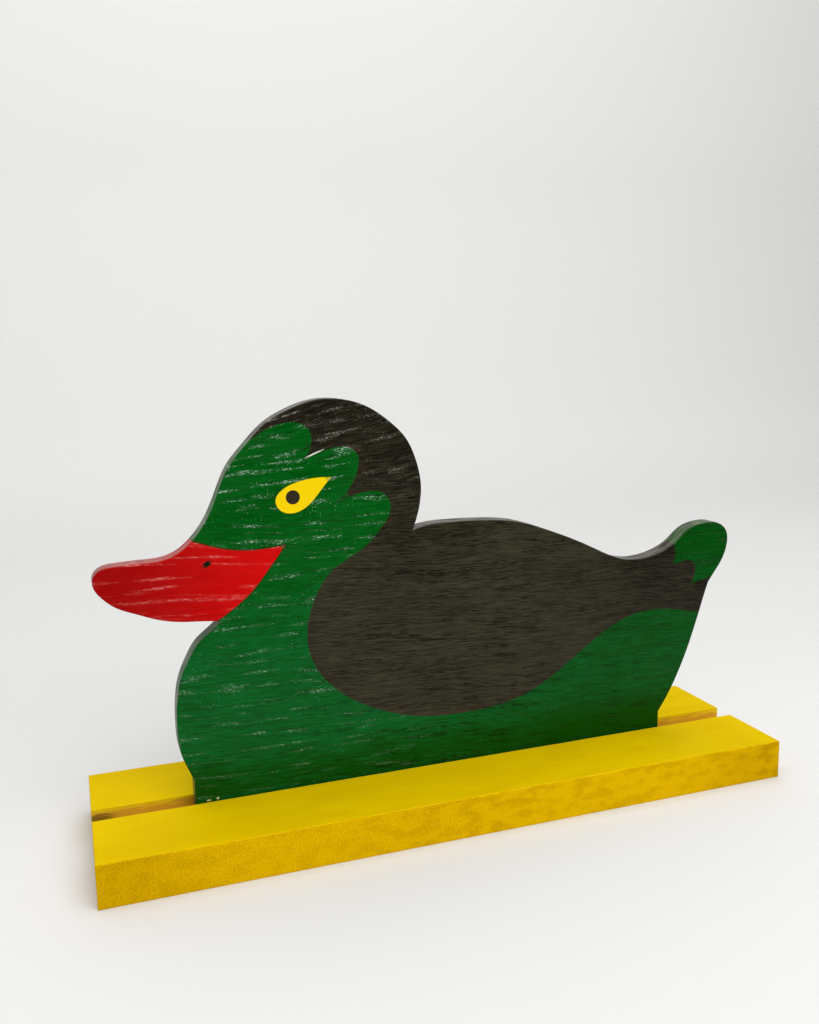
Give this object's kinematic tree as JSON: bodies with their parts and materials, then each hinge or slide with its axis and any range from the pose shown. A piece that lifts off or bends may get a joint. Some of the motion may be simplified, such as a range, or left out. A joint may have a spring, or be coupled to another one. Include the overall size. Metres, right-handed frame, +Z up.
{
  "type": "painted wooden duck silhouette on a grooved base",
  "caption": "Flat painted duck sawn from board, standing upright in the groove of a flat rectangular wooden base.",
  "frame": {"origin": "middle of the base's underside", "axes": "+X along the base from the duck's bill to its tail, +Y from front to back across the groove, +Z up"},
  "size_m": [0.312, 0.084, 0.1859],
  "materials": {
    "duck_paint": "thin semi-gloss paint on open-grained board: dark green, black, red and yellow areas",
    "base_paint": "semi-gloss yellow paint on fibreboard, thinner and mottled on the sawn edges and in the groove"
  },
  "bodies": {
    "base": {"grooved_base": "base_paint"},
    "duck": {"duck_board": "duck_paint"}
  },
  "joints": [
    {"name": "lift_out", "type": "slide", "parent": "base", "child": "duck", "axis": [0, 0, 1], "range_m": [0, 0.03]}
  ]
}
